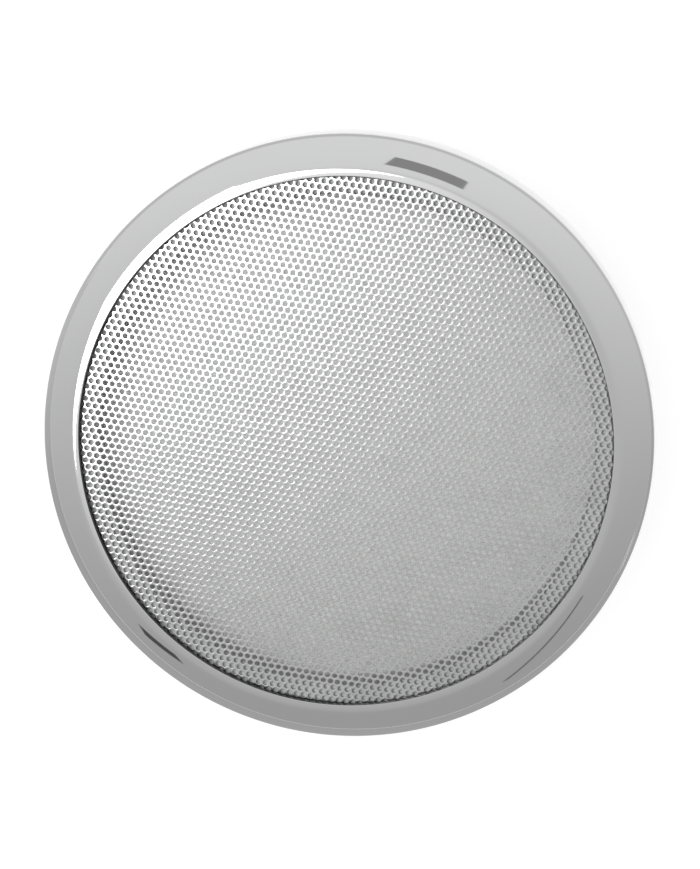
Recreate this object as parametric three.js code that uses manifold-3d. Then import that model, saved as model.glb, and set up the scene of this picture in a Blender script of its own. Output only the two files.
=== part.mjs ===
// A large-format car tweeter behind a magnetically held chrome grille.
// Millimetres, +Z towards the listener. The origin is on the axis, at the back face of the rear chamber.
import * as THREE from "three";
import { mergeVertices } from "three/addons/utils/BufferGeometryUtils.js";
import Module from "manifold-3d";

const wasm = await Module();
wasm.setup();

// ---- driving dimensions ------------------------------------------------------------------------

// how finely round shapes are cut
const ringSides = 64;
const bodySides = 40;
const smallSides = 16;
const holeSides = 20;

// clearances
const seatGap = 0.05; // glue line or seat between two stacked pieces
const slipGap = 0.25; // sliding fit between the grille and the faceplate
const boreGap = 0.2; // a fastener in its clearance hole

// grille: trim ring
const trimRadius = 42.5;
const trimHeight = 9.8;
const trimWall = 1.3;
const trimFaceWidth = 5.55; // from the outer wall in to the mesh opening
const trimWallHeight = 6.0;
const shoulderWidth = 0.75; // the wall turns over into the sloping face
const shoulderRise = 1.35;
const shoulderAngle = 44; // slope of the face just inside the shoulder
const browAngle = 24; // slope of the face where the lip starts to curl over
const browDrop = 0.19;
const lipRoll = 1.35; // how far the face curls over before it meets the mesh
const lipDrop = 0.25;
const lipEdge = 0.7; // straight edge of the lip, above the mesh
const pocketRoom = 0.2; // round the mesh's edge, in the pocket under the lip

// grille: mesh, retainer, keeper and cloth
const meshThickness = 0.45;
const meshRise = 1.25;
const meshTuck = 0.9; // how far the mesh reaches under the lip
const ledgeWidth = 2.5; // retainer seen behind the outer holes of the mesh
const retainerThickness = 0.8;
const skirtWall = 0.7;
const keeperThickness = 1.2;
const keeperGap = 0.1; // air between the keeper ring and the faceplate's rim
const clothThickness = 0.3;
const bossRadius = 1.5;
const webBite = 0.25; // how far a boss's web runs into the trim ring's wall
const bossHeight = 2.2;
const bossInset = 3.05; // from the trim ring's outer wall to a boss centre
const grilleScrewCount = 4;
const grilleScrewRadius = 0.8;
const grilleScrewHeadRadius = 1.35;
const grilleScrewBite = 1.8;

// faceplate
const rimThickness = 2.0;
const rimWidth = 5.4; // raised rim that carries the grille magnets
const plateauThickness = 1.4;
const collarRadius = 30.5;
const mouthInset = 0.5; // the waveguide's mouth is this much smaller than the collar
const collarWall = 0.8;
const collarLip = 3.2; // how far the collar reaches down round the front pole plate
const collarDepth = 4.15; // from the panel seat to the faceplate's back face
const baseClearance = 0.3; // the trim ring stops this far behind the panel seat
const gasketThickness = 0.6;
const mountHoleCount = 4;
const mountHoleRadius = 1.9;
const mountHeadRadius = 3.6; // room for a mounting screw's head
const mountHoleMargin = 1.0; // from the collar out to a mounting hole
const grilleMagnetCount = 4;
const grilleMagnetRadius = 2.0;
const grilleMagnetThickness = 1.0;

// diaphragm
const domeRadius = 13.9;
const domeRise = 4.4;
const domeSkin = 0.25;
const domeLip = 1.0;
const surroundRoll = 1.65; // radius of the half roll
const surroundSkin = 0.3;
const surroundFoot = 3.2; // clamped outer edge of the surround
const strokeRoom = 0.45; // free space behind the dome's lip
const formerWall = 0.25;
const formerDepth = 5.0;
const coilThickness = 0.45;
const coilHeight = 3.4;
const carrierThickness = 0.7;

// motor
const frontPlateThickness = 3.5;
const frontPlateInset = 1.1; // from the collar's outside to the plate's edge
const coilAir = 0.35; // radial air on each side of the coil
const motorMagnetRadius = 24.0;
const magnetBoreRoom = 2.1; // from the voice coil out to the magnet's bore
const motorMagnetThickness = 8.1;
const yokeThickness = 3.5;
const ventRadius = 4.0;
const motorScrewCount = 3;
const motorScrewInset = 2.6; // from the front plate's edge to a screw
const motorScrewRadius = 1.3;
const motorScrewHeadRadius = 2.2;
const motorScrewHeadHeight = 1.5;
const motorScrewBite = 3.0;

// rear chamber
const chamberLip = 0.4; // the chamber stands proud of the magnet
const chamberWall = 1.3;
const chamberFloor = 1.4;
const chamberDepth = 10.2; // from the chamber's back face to the yoke
const chamberRound = 2.0;
const padThickness = 6.0;

// terminals
const boardLength = 15.0;
const boardThickness = 1.2;
const boardDrop = 9.5;
const boardReach = 4.0;
const bladeThickness = 0.8;
const bladeLength = 15.5;
const bladeOffset = 4.6; // sideways from the middle of the board
const positiveBladeWidth = 4.8;
const negativeBladeWidth = 2.8;
const rivetRadius = 0.7;
const rivetHeadRadius = 1.2;
const rivetHeadHeight = 0.6;
const bladeRivetRadius = 0.7;
const leadRadius = 0.3;
const grooveWidth = 1.8; // of the faceplate's grooves for the leads
const grooveDepth = 1.6;
const grooveOver = 2.0; // how far a groove runs past its lead
const leadRoom = 0.8; // round a lead where it passes through the front plate

// ---- places worked out from them ---------------------------------------------------------------

const yokeBack = chamberDepth;
const magnetBack = yokeBack + yokeThickness + seatGap;
const frontPlateBack = magnetBack + motorMagnetThickness + seatGap;
const frontPlateTop = frontPlateBack + frontPlateThickness;
const faceplateBack = frontPlateTop + seatGap;
const panelSeat = faceplateBack + collarDepth;
const rimTop = panelSeat + rimThickness;
const waveguideMouth = collarRadius - mouthInset;
const mountCircle = collarRadius + mountHoleMargin + mountHoleRadius;
const plateauTop = panelSeat + plateauThickness;
const faceplateRadius = trimRadius - trimWall - slipGap;
const rimInner = faceplateRadius - rimWidth;
const frontPlateRadius = collarRadius - frontPlateInset;
const motorScrewCircle = frontPlateRadius - motorScrewInset;
const chamberRadius = motorMagnetRadius + chamberLip;
const chamberInner = chamberRadius - chamberWall;
const yokeRadius = chamberInner - boreGap;

const trimBase = panelSeat - baseClearance;
const trimCrest = trimBase + trimHeight;
const openingRadius = trimRadius - trimFaceWidth;
const ledgeInner = openingRadius - ledgeWidth;
const meshSeat = trimCrest - lipDrop - lipEdge;
const meshTop = meshSeat - seatGap;
const meshEdge = openingRadius + meshTuck;
const retainerTop = meshTop - meshThickness - seatGap;
const keeperBack = rimTop + keeperGap;
const keeperTop = keeperBack + keeperThickness;
const clothTop = keeperBack - seatGap;
const clothRadius = rimInner - slipGap;
const bossCircle = trimRadius - bossInset;

const domeFoot = frontPlateTop + strokeRoom;
const surroundFootBack = domeFoot + surroundSkin + seatGap;
const domeEdge = domeRadius + domeLip;
const rollOuter = domeEdge + 2 * surroundRoll;
const surroundEdge = rollOuter + surroundFoot;
const clampFace = surroundFootBack + surroundSkin + seatGap;
const throatRadius = rollOuter + 0.6;
const formerRadius = domeRadius - formerWall;
const coilOuter = domeRadius + seatGap + coilThickness;
const poleRadius = formerRadius - coilAir;
const motorMagnetBore = coilOuter + magnetBoreRoom;

const boardBack = motorMagnetRadius + 0.6;
const boardFace = boardBack + boardReach;
const boardTop = frontPlateBack - seatGap;
const rivetX = boardFace - boardThickness - slipGap - rivetHeadRadius;
const rivetPlaces = [-boardLength / 4, boardLength / 4];
const bladePlaces = [bladeOffset, -bladeOffset];
const bladeTop = boardTop - 1.2;
const bladeRivetZ = boardTop - 0.55 * boardDrop;
const leadCircle = motorScrewCircle;
const leadAngle = THREE.MathUtils.degToRad(24);

// ---- shape tools -------------------------------------------------------------------------------

// points on a circular arc from one [r, z] point to another that turns through the given angle,
// bulging to the left of the way from the first to the second when the angle is positive
function arc(from, to, turnDegrees, steps) {
  const half = THREE.MathUtils.degToRad(turnDegrees) / 2;
  const chord = Math.hypot(to[0] - from[0], to[1] - from[1]);
  const heading = Math.atan2(to[1] - from[1], to[0] - from[0]);
  const radius = chord / (2 * Math.sin(half));
  const start = heading + half;
  const centre = [from[0] + radius * Math.sin(start), from[1] - radius * Math.cos(start)];
  const points = [];
  for (let i = 0; i <= steps; i++) {
    const angle = start - (2 * half * i) / steps;
    points.push([centre[0] - radius * Math.sin(angle), centre[1] + radius * Math.cos(angle)]);
  }
  return points;
}

// points on a smooth curve between two [r, z] points that leaves and arrives along the given arms
function curve(from, leave, arrive, to, steps) {
  const bend = new THREE.CubicBezierCurve(
    new THREE.Vector2(...from),
    new THREE.Vector2(from[0] + leave[0], from[1] + leave[1]),
    new THREE.Vector2(to[0] + arrive[0], to[1] + arrive[1]),
    new THREE.Vector2(...to),
  );
  return bend.getPoints(steps).map((point) => [point.x, point.y]);
}

// a step of the given length up a slope that rises towards the axis
function along(degrees, length) {
  const slope = THREE.MathUtils.degToRad(degrees);
  return [-length * Math.cos(slope), length * Math.sin(slope)];
}

// a geometry whose faces point out
function facingOut(geometry) {
  const p = geometry.getAttribute("position");
  const index = geometry.index.array;
  const corners = [new THREE.Vector3(), new THREE.Vector3(), new THREE.Vector3()];
  let volume = 0;
  for (let i = 0; i < index.length; i += 3) {
    corners.forEach((corner, k) => corner.fromBufferAttribute(p, index[i + k]));
    volume += corners[0].dot(corners[1].clone().cross(corners[2]));
  }
  if (volume < 0) {
    for (let i = 0; i < index.length; i += 3) {
      [index[i + 1], index[i + 2]] = [index[i + 2], index[i + 1]];
    }
  }
  return geometry;
}

// a body turned round the Z axis from an outline of [r, z] points, closed on itself or on the axis
function turned(outline, sides = bodySides) {
  const points = outline.map(([r, z]) => new THREE.Vector2(r, z));
  const profile = points.filter((point, i) => i === 0 || point.distanceTo(points[i - 1]) > 1e-3);
  if (outline[0][0] > 0) profile.push(profile[0].clone());
  const geometry = new THREE.LatheGeometry(profile, sides);
  geometry.rotateX(Math.PI / 2);
  return facingOut(geometry);
}

// a plain ring or, with no inner radius, a plain disc
function ring(inner, outer, back, front, sides = bodySides) {
  return turned([[inner, back], [outer, back], [outer, front], [inner, front]], sides);
}

// a round rod along Z
function rod(radius, back, front, sides = smallSides) {
  return ring(0, radius, back, front, sides);
}

function box(sizeX, sizeY, sizeZ, x, y, z) {
  return new THREE.BoxGeometry(sizeX, sizeY, sizeZ).translate(x, y, z);
}

// moves a geometry out from the axis to a place on a circle round it
function onCircle(geometry, circle, degrees) {
  return geometry.translate(circle, 0, 0).rotateZ(THREE.MathUtils.degToRad(degrees));
}

function solid(geometry) {
  const bare = geometry.clone();
  bare.deleteAttribute("normal");
  bare.deleteAttribute("uv");
  const merged = mergeVertices(bare, 1e-4);
  const mesh = new wasm.Mesh({
    numProp: 3,
    vertProperties: merged.getAttribute("position").array,
    triVerts: new Uint32Array(merged.index.array),
  });
  return new wasm.Manifold(mesh);
}

function geometryOf(body) {
  const mesh = body.getMesh();
  const geometry = new THREE.BufferGeometry();
  geometry.setAttribute("position", new THREE.BufferAttribute(mesh.vertProperties, 3));
  geometry.setIndex(new THREE.BufferAttribute(mesh.triVerts, 1));
  geometry.computeVertexNormals();
  return geometry;
}

// cuts every tool out of a geometry
function cut(geometry, tools) {
  return geometryOf(tools.reduce((body, tool) => body.subtract(solid(tool)), solid(geometry)));
}

function joined(geometry, extras) {
  return geometryOf(extras.reduce((body, extra) => body.add(solid(extra)), solid(geometry)));
}

// evenly spaced angles round the axis, in degrees
function spread(count, first = 0) {
  return Array.from({ length: count }, (_, i) => first + (360 * i) / count);
}

const grilleScrewAngles = spread(grilleScrewCount);
const grilleMagnetAngles = spread(grilleMagnetCount, 45);
const mountHoleAngles = spread(mountHoleCount);
const motorScrewAngles = spread(motorScrewCount, 60);

// ---- materials ---------------------------------------------------------------------------------

function finish(color, roughness, metalness) {
  return new THREE.MeshStandardMaterial({ color, roughness, metalness });
}

const chrome = finish(0xc4c5c6, 0.05, 1);
const platedSteel = finish(0xb9bbbd, 0.3, 1);
const blackPlate = finish(0x1b1c1e, 0.5, 0.2);
const ferrite = finish(0x35353a, 0.7, 0.1);
const zincSteel = finish(0xa8a9a6, 0.35, 1);
const neodymium = finish(0xc4c4c8, 0.2, 1);
const blackPlastic = finish(0x17181a, 0.55, 0);
const foam = finish(0x2a2b2d, 0.95, 0);
const felt = finish(0xb4b1aa, 1, 0);
const paleCloth = finish(0xc9cacb, 0.95, 0);
const silk = finish(0x232326, 0.6, 0);
const coatedCloth = finish(0x1c1c1f, 0.7, 0);
const copper = finish(0xb36a3a, 0.3, 1);
const former = finish(0xcfc9b8, 0.4, 0.8);
const phenolic = finish(0x6b4a2c, 0.7, 0);
const tinned = finish(0xcbccc8, 0.25, 1);
const redSleeve = finish(0x9d1f1f, 0.5, 0);
const blackSleeve = finish(0x1a1a1a, 0.5, 0);

const tweeter = new THREE.Group();

function add(name, geometry, material) {
  const mesh = new THREE.Mesh(geometry, material);
  mesh.name = name;
  tweeter.add(mesh);
}

// ---- grille ------------------------------------------------------------------------------------

// Chromed shell: a straight wall, a domed sloping face and a lip that curls down to the mesh.
// Bosses inside it take the screws of the keeper ring.
function trimRing() {
  const inside = trimRadius - trimWall;
  const wallTop = [trimRadius, trimBase + trimWallHeight];
  const shoulder = [trimRadius - shoulderWidth, wallTop[1] + shoulderRise];
  const brow = [openingRadius + lipRoll, trimCrest - browDrop];
  const lip = [openingRadius, trimCrest - lipDrop];
  const faceArm = (brow[1] - shoulder[1]) * 0.55;
  const shell = turned(
    [
      [inside, trimBase],
      [trimRadius, trimBase],
      ...curve(wallTop, [0, shoulderRise * 0.6], along(shoulderAngle, -0.4), shoulder, 4),
      ...curve(shoulder, along(shoulderAngle, faceArm), along(browAngle, -faceArm), brow, 5),
      ...curve(brow, along(browAngle, lipRoll / 2), [0, lipDrop * 0.7], lip, 4),
      [openingRadius, meshSeat],
      [meshEdge + pocketRoom, meshSeat],
      [inside, trimBase + trimWallHeight],
    ],
    ringSides,
  );
  const bossTop = keeperTop + seatGap + bossHeight;
  const bosses = grilleScrewAngles.map((angle) =>
    onCircle(rod(bossRadius, keeperTop + seatGap, bossTop), bossCircle, angle),
  );
  const webLength = trimRadius - trimWall + webBite - bossCircle;
  const webs = grilleScrewAngles.map((angle) =>
    box(
      webLength, bossRadius, bossHeight,
      bossCircle + webLength / 2, 0, (keeperTop + seatGap + bossTop) / 2,
    ).rotateZ(THREE.MathUtils.degToRad(angle)),
  );
  const screwHoles = grilleScrewAngles.map((angle) =>
    onCircle(
      rod(grilleScrewRadius + seatGap, keeperTop - seatGap, keeperTop + grilleScrewBite + boreGap),
      bossCircle,
      angle,
    ),
  );
  return cut(joined(shell, [...bosses, ...webs]), screwHoles);
}

// The perforated sheet is modelled without its holes: a shallow dome with a flat tucked edge.
function grilleMesh() {
  const doming = 2 * THREE.MathUtils.radToDeg(Math.atan(meshRise / openingRadius));
  const front = arc([0, meshTop + meshRise], [openingRadius, meshTop], doming, 5);
  const back = front.map(([r, z]) => [r, z - meshThickness]).reverse();
  return turned(
    [...front, [meshEdge, meshTop], [meshEdge, meshTop - meshThickness], ...back],
    ringSides,
  );
}

// Plated ring that presses the mesh up under the lip. Its skirt runs down from the inner edge of
// the ledge to the keeper ring.
function meshRetainer() {
  const skirtOuter = ledgeInner + skirtWall;
  const ledgeBack = retainerTop - retainerThickness;
  return turned(
    [
      [ledgeInner, keeperTop + seatGap],
      [skirtOuter, keeperTop + seatGap],
      [skirtOuter, ledgeBack],
      [meshEdge, ledgeBack],
      [meshEdge, retainerTop],
      [ledgeInner, retainerTop],
    ],
    ringSides,
  );
}

// countersunk head and shank of a grille screw, grown by the given gap for its hole
function grilleScrewShape(gap) {
  const shank = grilleScrewRadius + gap;
  const head = grilleScrewHeadRadius + gap;
  const sink = grilleScrewHeadRadius - grilleScrewRadius;
  const flush = gap > 0 ? keeperBack - gap : keeperBack;
  return turned(
    [
      [0, flush],
      [head, flush],
      [head, keeperBack + 0.1],
      [shank, keeperBack + 0.1 + sink],
      [shank, keeperTop + grilleScrewBite],
      [0, keeperTop + grilleScrewBite],
    ],
    smallSides,
  );
}

// Flat steel ring that the faceplate's magnets hold.
function keeperRing() {
  const plate = ring(ledgeInner, trimRadius - trimWall - slipGap, keeperBack, keeperTop, ringSides);
  return cut(
    plate,
    grilleScrewAngles.map((angle) => onCircle(grilleScrewShape(boreGap), bossCircle, angle)),
  );
}

add("trim_ring", trimRing(), chrome);
add("grille_mesh", grilleMesh(), chrome);
add("mesh_retainer", meshRetainer(), platedSteel);
add("keeper_ring", keeperRing(), platedSteel);
add("acoustic_cloth", rod(clothRadius, clothTop - clothThickness, clothTop, ringSides), paleCloth);
grilleScrewAngles.forEach((angle, i) => {
  add(`grille_screw_${i + 1}`, onCircle(grilleScrewShape(0), bossCircle, angle), zincSteel);
});

// ---- faceplate and what it carries -------------------------------------------------------------

// Cast plate: raised magnet rim, flat plateau with the mounting holes, waveguide, and a collar
// behind the panel that holds the motor.
function faceplate() {
  const clampOuter = surroundEdge + boreGap;
  const mouthTurn = 28;
  const body = turned(
    [
      [throatRadius, clampFace],
      ...arc([throatRadius, clampFace + 0.4], [waveguideMouth, plateauTop], mouthTurn, 6),
      [rimInner, plateauTop],
      [rimInner, rimTop],
      [faceplateRadius, rimTop],
      [faceplateRadius, panelSeat],
      [collarRadius, panelSeat],
      [collarRadius, faceplateBack - collarLip],
      [collarRadius - collarWall, faceplateBack - collarLip],
      [collarRadius - collarWall, faceplateBack],
      [clampOuter, faceplateBack],
      [clampOuter, clampFace],
    ],
    ringSides,
  );
  const magnetPockets = grilleMagnetAngles.map((angle) =>
    onCircle(
      rod(grilleMagnetRadius + boreGap, rimTop - grilleMagnetThickness - 2 * seatGap, rimTop + 1),
      (rimInner + faceplateRadius) / 2,
      angle,
    ),
  );
  const mountHoles = mountHoleAngles.map((angle) =>
    onCircle(rod(mountHoleRadius, panelSeat - 1, plateauTop + 1), mountCircle, angle),
  );
  const headRoom = mountHoleAngles.map((angle) =>
    onCircle(rod(mountHeadRadius, plateauTop, rimTop + 1), mountCircle, angle),
  );
  const screwHoles = motorScrewAngles.map((angle) =>
    onCircle(
      rod(motorScrewRadius + boreGap, faceplateBack - 1, faceplateBack + motorScrewBite + boreGap),
      motorScrewCircle,
      angle,
    ),
  );
  const leadGrooves = [-1, 1].map((side) => {
    const start = surroundEdge - surroundFoot / 2;
    const length = leadCircle - start + grooveOver;
    return box(length, grooveWidth, 2 * grooveDepth, start + length / 2, 0, faceplateBack).rotateZ(
      side * leadAngle,
    );
  });
  return cut(body, [...magnetPockets, ...mountHoles, ...headRoom, ...screwHoles, ...leadGrooves]);
}

add("faceplate", faceplate(), blackPlate);

const gasketHoles = mountHoleAngles.map((angle) =>
  onCircle(
    rod(mountHoleRadius + boreGap, panelSeat - gasketThickness - 1, panelSeat + 1),
    mountCircle,
    angle,
  ),
);
add(
  "panel_gasket",
  cut(
    ring(
      collarRadius + slipGap, faceplateRadius - 0.4,
      panelSeat - seatGap - gasketThickness, panelSeat - seatGap,
    ),
    gasketHoles,
  ),
  foam,
);

grilleMagnetAngles.forEach((angle, i) => {
  const front = rimTop - seatGap;
  const disc = rod(grilleMagnetRadius, front - grilleMagnetThickness, front);
  add(`grille_magnet_${i + 1}`, onCircle(disc, (rimInner + faceplateRadius) / 2, angle), neodymium);
});

// ---- diaphragm ---------------------------------------------------------------------------------

function dome() {
  const foot = domeFoot + surroundSkin;
  const doming = 2 * THREE.MathUtils.radToDeg(Math.atan(domeRise / domeRadius));
  const front = arc([0, foot + domeRise], [domeRadius, foot], doming, 6);
  const back = arc([0, foot + domeRise - domeSkin], [formerRadius, domeFoot], doming, 6).reverse();
  return turned([...front, [domeEdge, foot], [domeEdge, domeFoot], ...back]);
}

function surround() {
  const foot = surroundFootBack;
  const top = foot + surroundSkin;
  const inner = domeEdge - 0.8;
  const crown = arc([domeEdge, top], [rollOuter, top], 170, 7);
  const under = arc(
    [domeEdge + surroundSkin, foot],
    [rollOuter - surroundSkin, foot],
    170,
    7,
  ).reverse();
  return turned([
    [inner, foot],
    [inner, top],
    ...crown,
    [surroundEdge, top],
    [surroundEdge, foot],
    ...under,
  ]);
}

add("dome", dome(), silk);
add("surround", surround(), coatedCloth);
add(
  "coil_former",
  ring(formerRadius, domeRadius, domeFoot - seatGap - formerDepth, domeFoot - seatGap),
  former,
);
const coilBack = frontPlateBack + (frontPlateThickness - coilHeight) / 2;
add("voice_coil", ring(domeRadius + seatGap, coilOuter, coilBack, coilBack + coilHeight), copper);

function carrier() {
  const plain = ring(rollOuter + 0.2, surroundEdge, faceplateBack, faceplateBack + carrierThickness);
  const notches = [-1, 1].map((side) =>
    box(3, 1.8, 4, surroundEdge, 0, faceplateBack).rotateZ(side * leadAngle),
  );
  return cut(plain, notches);
}

add("surround_carrier", carrier(), blackPlastic);

// ---- motor -------------------------------------------------------------------------------------

function frontPlate() {
  const plain = ring(coilOuter + coilAir, frontPlateRadius, frontPlateBack, frontPlateTop);
  const screwHoles = motorScrewAngles.map((angle) =>
    onCircle(
      rod(motorScrewRadius + boreGap, frontPlateBack - 1, frontPlateTop + 1),
      motorScrewCircle,
      angle,
    ),
  );
  const leadHoles = [-1, 1].map((side) =>
    rod(leadRadius + leadRoom, frontPlateBack - 1, frontPlateTop + 1)
      .translate(leadCircle, 0, 0)
      .rotateZ(side * leadAngle),
  );
  const rivetHoles = rivetPlaces.map((y) =>
    rod(rivetRadius + boreGap, frontPlateBack - 1, frontPlateBack + 1.6).translate(rivetX, y, 0),
  );
  return cut(plain, [...screwHoles, ...leadHoles, ...rivetHoles]);
}

add("front_plate", frontPlate(), zincSteel);
add(
  "motor_magnet",
  ring(motorMagnetBore, motorMagnetRadius, magnetBack, magnetBack + motorMagnetThickness),
  ferrite,
);
add(
  "yoke",
  turned([
    [ventRadius, yokeBack],
    [yokeRadius, yokeBack],
    [yokeRadius, yokeBack + yokeThickness],
    [poleRadius, yokeBack + yokeThickness],
    [poleRadius, frontPlateTop],
    [ventRadius, frontPlateTop],
  ]),
  zincSteel,
);

motorScrewAngles.forEach((angle, i) => {
  const headFront = frontPlateBack - seatGap;
  const headBack = headFront - motorScrewHeadHeight;
  const tip = faceplateBack + motorScrewBite;
  const screw = turned(
    [
      [0, headBack],
      ...arc([motorScrewHeadRadius * 0.55, headBack], [motorScrewHeadRadius, headFront - 0.6], -50, 3),
      [motorScrewHeadRadius, headFront],
      [motorScrewRadius, headFront],
      [motorScrewRadius, tip],
      [0, tip],
    ],
    smallSides,
  );
  add(`motor_screw_${i + 1}`, onCircle(screw, motorScrewCircle, angle), zincSteel);
});

// ---- rear chamber ------------------------------------------------------------------------------

function rearChamber() {
  return turned([
    [0, 0],
    ...arc([chamberRadius - chamberRound, 0], [chamberRadius, chamberRound], -90, 4),
    [chamberRadius, magnetBack - seatGap],
    [chamberInner, magnetBack - seatGap],
    [chamberInner, chamberFloor],
    [0, chamberFloor],
  ]);
}

add("rear_chamber", rearChamber(), blackPlastic);
const padBack = chamberFloor + seatGap;
add("damping_pad", rod(chamberInner - 0.6, padBack, padBack + padThickness, bodySides), felt);

// ---- terminals ---------------------------------------------------------------------------------

function terminalBoard() {
  const tab = box(
    boardReach, boardLength, boardThickness,
    boardBack + boardReach / 2, 0, boardTop - boardThickness / 2,
  );
  const leg = box(
    boardThickness, boardLength, boardDrop,
    boardFace - boardThickness / 2, 0, boardTop - boardDrop / 2,
  );
  const rivetHoles = rivetPlaces.map((y) =>
    rod(rivetRadius + boreGap, boardTop - boardThickness - 1, boardTop + 1).translate(rivetX, y, 0),
  );
  const bladeRivetHoles = bladePlaces.map((y) =>
    rod(bladeRivetRadius + seatGap, -boardThickness - 1, 1)
      .rotateY(Math.PI / 2)
      .translate(boardFace, y, bladeRivetZ),
  );
  return cut(joined(tab, [leg]), [...rivetHoles, ...bladeRivetHoles]);
}

// A flat spade with chamfered corners, a hole for its rivet and a latch hole near its tip.
function blade(width, y) {
  const half = width / 2;
  const corner = width * 0.22;
  const outline = new THREE.Shape([
    new THREE.Vector2(-half, 0),
    new THREE.Vector2(-half, corner - bladeLength),
    new THREE.Vector2(corner - half, -bladeLength),
    new THREE.Vector2(half - corner, -bladeLength),
    new THREE.Vector2(half, corner - bladeLength),
    new THREE.Vector2(half, 0),
  ]);
  const strip = new THREE.ExtrudeGeometry(outline, { depth: bladeThickness, bevelEnabled: false });
  strip.rotateX(Math.PI / 2).rotateZ(Math.PI / 2).translate(boardFace + seatGap, y, bladeTop);
  const through = (radius, z) =>
    rod(radius, -bladeThickness, 3 * bladeThickness).rotateY(Math.PI / 2).translate(boardFace, y, z);
  return cut(strip, [
    through(bladeRivetRadius + seatGap, bladeRivetZ),
    through(width * 0.16, bladeTop - bladeLength + 3.2),
  ]);
}

// A rivet through a blade and the board's leg, with a low head outside.
function bladeRivet(y) {
  const headSeat = bladeThickness + 2 * seatGap;
  return turned(
    [
      [0, 0.2 - boardThickness],
      [bladeRivetRadius, 0.2 - boardThickness],
      [bladeRivetRadius, headSeat],
      [bladeRivetRadius + 0.4, headSeat],
      [bladeRivetRadius + 0.2, headSeat + 0.3],
      [0, headSeat + 0.3],
    ],
    smallSides,
  )
    .rotateY(Math.PI / 2)
    .translate(boardFace, y, bladeRivetZ);
}

function rivet(y) {
  const headTop = boardTop - boardThickness - seatGap;
  return turned(
    [
      [0, headTop - rivetHeadHeight],
      [rivetHeadRadius * 0.7, headTop - rivetHeadHeight],
      [rivetHeadRadius, headTop - rivetHeadHeight * 0.4],
      [rivetHeadRadius, headTop],
      [rivetRadius, headTop],
      [rivetRadius, frontPlateBack + 1.4],
      [0, frontPlateBack + 1.4],
    ],
    smallSides,
  ).translate(rivetX, y, 0);
}

// A tinsel lead: out through the faceplate's groove, down through the front plate, round to its blade.
function lead(side, bladeWidth) {
  const outward = [Math.cos(leadAngle), side * Math.sin(leadAngle)];
  const grooveZ = faceplateBack + leadRadius + 0.05;
  const bladeX = boardFace + seatGap + bladeThickness / 2;
  const bladeY = side * (bladeOffset + bladeWidth / 2 + leadRadius + 0.25);
  const cornerY = side * (boardLength / 2 + 0.7);
  const start = surroundEdge - 0.8;
  const points = [
    [outward[0] * start, outward[1] * start, grooveZ],
    [outward[0] * (leadCircle - 0.9), outward[1] * (leadCircle - 0.9), grooveZ],
    [outward[0] * leadCircle, outward[1] * leadCircle, frontPlateTop - 1],
    [outward[0] * leadCircle, outward[1] * leadCircle, frontPlateBack - 0.6],
    [bladeX - 1.0, cornerY + side * 0.7, boardTop - 3.2],
    [bladeX, cornerY, boardTop - 4.2],
    [bladeX, bladeY, boardTop - 5.6],
    [bladeX, bladeY, boardTop - 7.0],
  ];
  const path = new THREE.CatmullRomCurve3(points.map((p) => new THREE.Vector3(...p)), false, "centripetal");
  const section = new THREE.Shape();
  section.absarc(0, 0, leadRadius, 0, 2 * Math.PI, false);
  return new THREE.ExtrudeGeometry(section, {
    steps: 16,
    extrudePath: path,
    curveSegments: 4,
    bevelEnabled: false,
  });
}

add("terminal_board", terminalBoard(), phenolic);
add("terminal_blade_positive", blade(positiveBladeWidth, bladeOffset), tinned);
add("terminal_blade_negative", blade(negativeBladeWidth, -bladeOffset), tinned);
rivetPlaces.forEach((y, i) => add(`board_rivet_${i + 1}`, rivet(y), tinned));
bladePlaces.forEach((y, i) => add(`blade_rivet_${i + 1}`, bladeRivet(y), tinned));
add("lead_positive", lead(1, positiveBladeWidth), redSleeve);
add("lead_negative", lead(-1, negativeBladeWidth), blackSleeve);

export default tweeter;
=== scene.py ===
import math

import bmesh
import bpy
import numpy as np
from mathutils import Matrix, Vector
from mathutils.geometry import delaunay_2d_cdt, interpolate_bezier


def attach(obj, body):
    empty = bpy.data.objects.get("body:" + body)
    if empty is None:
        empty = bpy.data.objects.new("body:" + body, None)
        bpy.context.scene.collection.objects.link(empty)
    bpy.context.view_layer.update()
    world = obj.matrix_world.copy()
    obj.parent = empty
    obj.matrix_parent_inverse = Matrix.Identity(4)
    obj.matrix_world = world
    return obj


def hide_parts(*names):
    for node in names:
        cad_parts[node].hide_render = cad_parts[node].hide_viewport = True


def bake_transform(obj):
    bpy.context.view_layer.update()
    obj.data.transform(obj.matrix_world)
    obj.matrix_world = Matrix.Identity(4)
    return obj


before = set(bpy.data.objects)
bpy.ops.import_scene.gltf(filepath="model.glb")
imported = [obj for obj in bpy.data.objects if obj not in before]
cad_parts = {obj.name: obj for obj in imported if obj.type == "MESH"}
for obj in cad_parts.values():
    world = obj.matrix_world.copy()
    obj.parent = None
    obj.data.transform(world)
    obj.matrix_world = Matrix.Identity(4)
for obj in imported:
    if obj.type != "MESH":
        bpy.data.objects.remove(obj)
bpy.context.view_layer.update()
MM = 0.001


# ---- trim ring ----------------------------------------------------------------------------------
# The ring is a deep-drawn steel shell, polished and chromium plated. A straight wall turns over
# into a domed sloping face, whose inner lip curls down to the mesh. Four bosses take the screws.

BORE_SIDES = 32


def bend(start, leave, arrive, end, steps):
    """Points on a smooth curve between two (r, z) points, with an arm at either end."""
    knots = (start, (start[0] + leave[0], start[1] + leave[1]),
             (end[0] + arrive[0], end[1] + arrive[1]), end)
    return [(p.x, p.y) for p in interpolate_bezier(*[Vector((r, z, 0)) for r, z in knots], steps)]


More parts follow.
